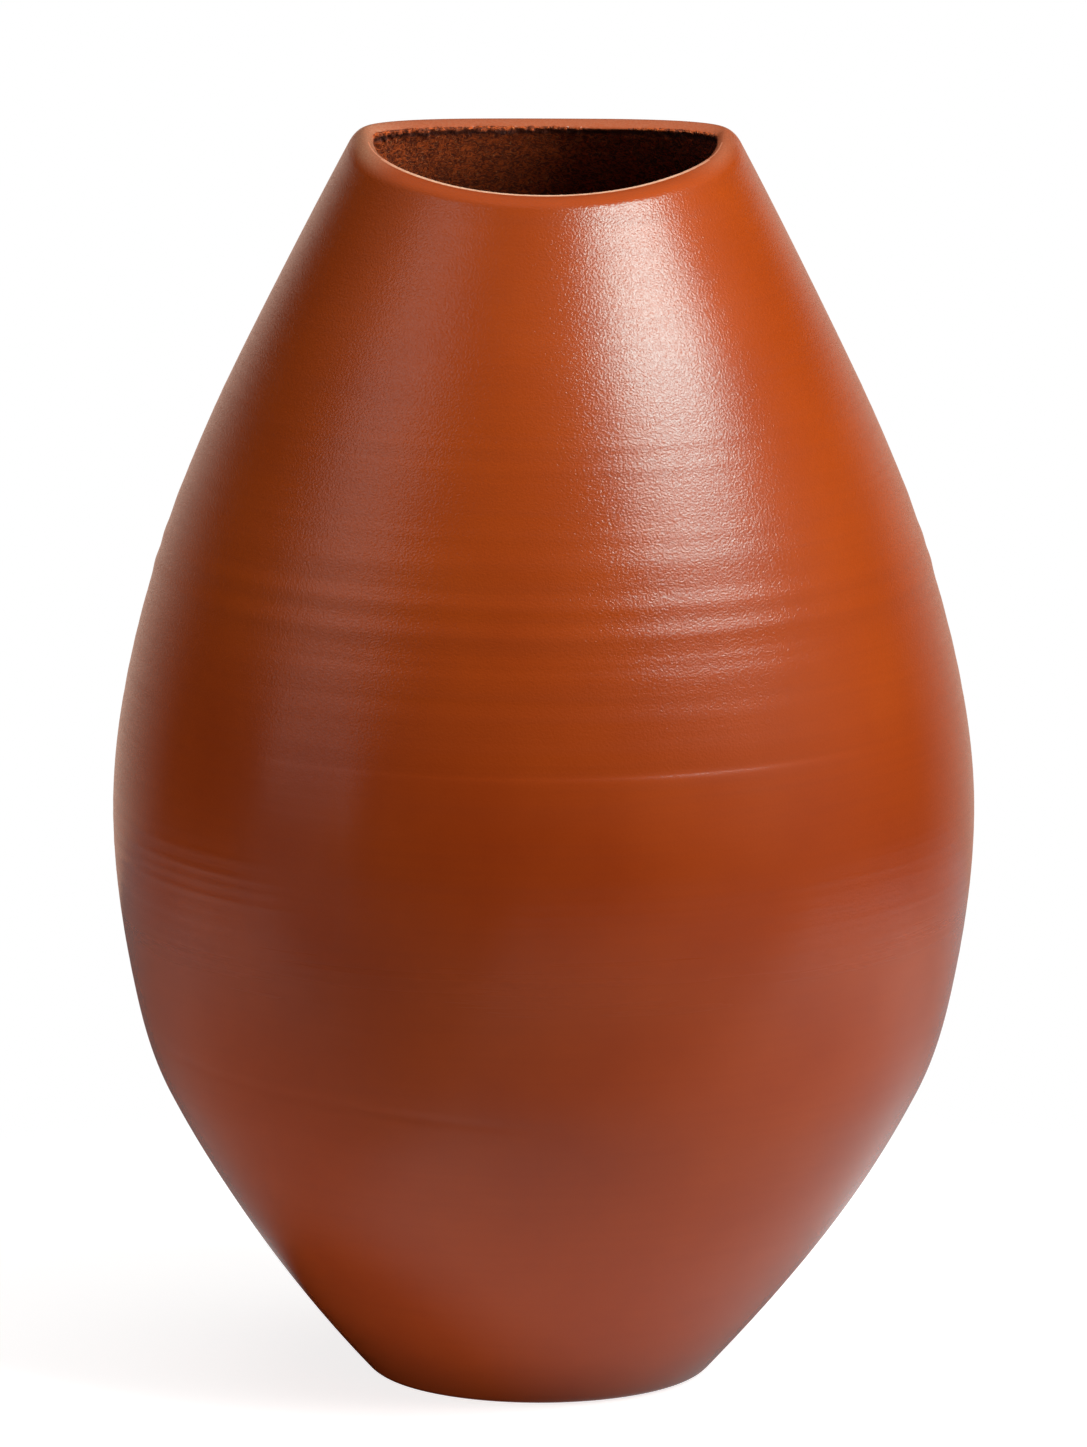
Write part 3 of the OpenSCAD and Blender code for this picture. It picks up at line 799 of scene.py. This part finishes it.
def stagePiece(name, points, faces, material):
    mesh = bpy.data.meshes.new(name)
    mesh.from_pydata(points, [], faces)
    mesh.materials.append(material)
    piece = bpy.data.objects.new(name, mesh)
    bpy.context.scene.collection.objects.link(piece)
    return piece


def flatPiece(name, low, high, z, material):
    (left, front), (right, rear) = low, high
    corners = [(left, front, z), (right, front, z), (right, rear, z), (left, rear, z)]
    return stagePiece(name, corners, [(0, 1, 2, 3)], material)


# The table, a hair below the foot, so that the two don't flicker. Fades are distances in metres.
table = {
    "low": (-0.42, -0.26), "high": (0.46, 0.62), "z": -0.3 * mm,
    "white": "#dad9d7", "shade": "#000000", "farWhite": "#ffffff", "glow": 0.8, "roughness": 0.9,
    "shadowFade": (0.16, 0.38), "thrownAt": (0.02, -0.13, 0), "thrownFade": (0.04, 0.16), "thrownLight": 0.2,
    "footFade": (0.055, 0.1), "footShare": 0.2,
}


# White laminate, matt: it keeps the pot's shadow near by, and goes to plain white further off
def tableMaterial():
    material, tree, shader = newMaterial("table_white_laminate")
    shader.inputs["Roughness"].default_value = table["roughness"]
    shader.inputs["Specular IOR Level"].default_value = 0
    shader.inputs["Emission Color"].default_value = hexColour(table["farWhite"])
    seen = seenDirectly(tree)
    place = addNode(tree, "ShaderNodeTexCoord").outputs["Object"]
    # painted light: the table glows just before the foot, throwing light up at the pot
    forward = addNode(tree, "ShaderNodeVectorMath", [place, table["thrownAt"]], operation="DISTANCE")
    thrown = addNode(tree, "ShaderNodeMapRange", [
        forward.outputs["Value"], *table["thrownFade"], table["thrownLight"], 0], **smoothly)
    glow = addNode(tree, "ShaderNodeMix", {0: seen, 2: thrown.outputs[0], 3: table["glow"]})
    tree.links.new(glow.outputs[0], shader.inputs["Emission Strength"])
    away = addNode(tree, "ShaderNodeVectorMath", [place], operation="LENGTH").outputs["Value"]
    # painted shade: round the foot the table's colour goes dark in the light it throws back at the pot, while
    # the camera and reflections still see it white
    shaded = addNode(tree, "ShaderNodeMapRange", [
        away, *table["footFade"], table["footShare"], 1], **smoothly)
    shaded = addNode(tree, "ShaderNodeMath", [shaded.outputs[0], seen], operation="MAXIMUM")
    white = addNode(tree, "ShaderNodeMix", {
        0: shaded.outputs[0], 6: hexColour(table["shade"]), 7: hexColour(table["white"])}, **colourMix)
    tree.links.new(white.outputs[2], shader.inputs["Base Color"])
    plain = addNode(tree, "ShaderNodeEmission", [hexColour(table["farWhite"]), 1])
    far = addNode(tree, "ShaderNodeMapRange", [away, *table["shadowFade"]], **smoothly)
    farSeen = addNode(tree, "ShaderNodeMath", [far.outputs[0], seen], operation="MULTIPLY")
    both = addNode(tree, "ShaderNodeMixShader", [farSeen.outputs[0], shader.outputs[0], plain.outputs[0]])
    tree.links.new(both.outputs[0], tree.nodes["Material Output"].inputs["Surface"])
    return material


flatPiece("table", table["low"], table["high"], table["z"], tableMaterial())


# Paper, seen only in the burnish: matt, and as bright as its own light function makes it
def paperMaterial(name, colour, brightness):
    material, tree, _ = newMaterial(name)
    glow = addNode(tree, "ShaderNodeEmission", [hexColour(colour), brightness(tree)])
    tree.links.new(glow.outputs[0], tree.nodes["Material Output"].inputs["Surface"])
    return material


def onlyReflected(piece):
    piece.visible_camera = False
    piece.visible_diffuse = False
    piece.visible_transmission = False
    piece.visible_shadow = False


def dimmed(tree, light, fades):
    # each fade is what is measured, the span of it, and the shares of the light at both ends
    for measure, span, shares in fades:
        share = addNode(tree, "ShaderNodeMapRange", [measure, *span, *shares], **smoothly)
        light = addNode(tree, "ShaderNodeMath", [light, share.outputs[0]], operation="MULTIPLY").outputs[0]
    return light


# The table as the pot sees it, a glowing sheet with painted shadows: x and y fades in metres, and two round
# painted shadows of the pot
sheet = {
    "low": (-1.1, -1.25), "high": (1.1, 0.62), "z": 0.8 * mm, "white": "#ffffff",
    "shadowAt": (-0.05, 0, 0), "shadowFade": (0.06, 0.105, 0.14), "nearLight": 0.75, "farLight": 0.15,
    "behindAt": (0.02, 0.06, 0), "behindFade": (0.05, 0.14), "behindShare": 0.3,
    "left": (-0.14, -0.065), "leftShare": 0.31, "beyond": (-0.45, -0.2), "beyondShare": 1.4,
    "leftEnd": (-1.1, -0.5), "rightEnd": (0.3, 1.05),
    "front": (-0.16, -0.3), "frontShare": 0.3, "frontEnd": (-0.4, -1.15),
    "rear": (0.08, 0.3), "rearShare": 0.5,
}


def sheetLight(tree):
    place = addNode(tree, "ShaderNodeTexCoord").outputs["Object"]
    x, y, _ = addNode(tree, "ShaderNodeSeparateXYZ", [place]).outputs
    away = addNode(tree, "ShaderNodeVectorMath", [place, sheet["shadowAt"]], operation="DISTANCE")
    away = away.outputs["Value"]
    fadeNear, fadeMid, fadeFar = sheet["shadowFade"]
    near = addNode(tree, "ShaderNodeMapRange", [away, fadeNear, fadeMid, 0, sheet["nearLight"]], **smoothly)
    far = addNode(tree, "ShaderNodeMapRange", [away, fadeMid, fadeFar, 0, sheet["farLight"]], **smoothly)
    lit = addNode(tree, "ShaderNodeMath", [near.outputs[0], far.outputs[0]], operation="ADD")
    behind = addNode(tree, "ShaderNodeVectorMath", [place, sheet["behindAt"]], operation="DISTANCE")
    return dimmed(tree, lit.outputs[0], [
        (behind.outputs["Value"], sheet["behindFade"], (sheet["behindShare"], 1)),
        (x, sheet["left"], (sheet["leftShare"], 1)),
        (x, sheet["beyond"], (sheet["beyondShare"], 1)),
        (x, sheet["leftEnd"], (0, 1)),
        (x, sheet["rightEnd"], (1, 0)),
        (y, sheet["front"], (1, sheet["frontShare"])),
        (y, sheet["frontEnd"], (1, 0)),
        (y, sheet["rear"], (1, sheet["rearShare"])),
    ])


onlyReflected(flatPiece("tableSheet", sheet["low"], sheet["high"], sheet["z"],
                        paperMaterial("paper_white_sheet", sheet["white"], sheetLight)))

# Tan paper low behind the pot, a dim ceiling high up behind it, and black in front. Rises are in degrees.
dome = {
    "far": 7.0, "around": 72, "up": 36, "tan": "#fed5c0",
    "paperLight": 0.65, "paperFrom": 0.5, "paperRise": (8, 16),
    "skyLight": 0.2, "skyRise": (27, 38), "skyFrom": (-0.3, 0.1),
}


def domeHeights(rises):
    return [dome["far"] * math.sin(math.radians(rise)) for rise in rises]


def backdropLight(tree):
    place = addNode(tree, "ShaderNodeTexCoord").outputs["Object"]
    _, y, z = addNode(tree, "ShaderNodeSeparateXYZ", [place]).outputs
    behind = addNode(tree, "ShaderNodeMapRange", [
        y, dome["far"] * dome["paperFrom"], dome["far"], 0, dome["paperLight"]])
    paper = dimmed(tree, behind.outputs[0], [(z, domeHeights(dome["paperRise"]), (1, 0))])
    high = dimmed(tree, dome["skyLight"], [
        (z, domeHeights(dome["skyRise"]), (0, 1)),
        (y, [dome["far"] * share for share in dome["skyFrom"]], (0, 1))])
    return addNode(tree, "ShaderNodeMath", [paper, high], operation="ADD").outputs[0]


def backdropDome():
    far, sides, up = dome["far"], dome["around"], dome["up"]
    turnsAt, risesAt = np.radians(np.linspace(0, 360, sides + 1)), np.radians(np.linspace(-90, 90, up + 1))
    points = [(far * math.sin(a) * math.cos(e), -far * math.cos(a) * math.cos(e), far * math.sin(e))
              for e in risesAt for a in turnsAt]
    corners = [j * (sides + 1) + i for j in range(up) for i in range(sides)]
    faces = [(k, k + 1, k + sides + 2, k + sides + 1) for k in corners]
    paper = paperMaterial("paper_tan_backdrop", dome["tan"], backdropLight)
    onlyReflected(stagePiece("backdropDome", points, faces, paper))


backdropDome()
print("studio set")

# Camera at the photograph's angle: far off with a long lens, looking down by about 12 degrees
shot = {"back": 5.5638, "height": 1.3666, "aimZ": 0.2092, "lens": 446.35, "sensor": 36, "clipEnd": 100}
lens = bpy.data.cameras.new("longLens")
lens.sensor_fit = "AUTO"
lens.sensor_width = shot["sensor"]
lens.lens = shot["lens"]
lens.clip_end = shot["clipEnd"]
camera = bpy.data.objects.new("longLens", lens)
camera.location = (0, -shot["back"], shot["height"])
camera.rotation_euler = (math.pi / 2 - math.atan2(shot["height"] - shot["aimZ"], shot["back"]), 0, 0)
bpy.context.scene.collection.objects.link(camera)
bpy.context.scene.camera = camera
bpy.context.scene.view_settings.view_transform = "Standard"
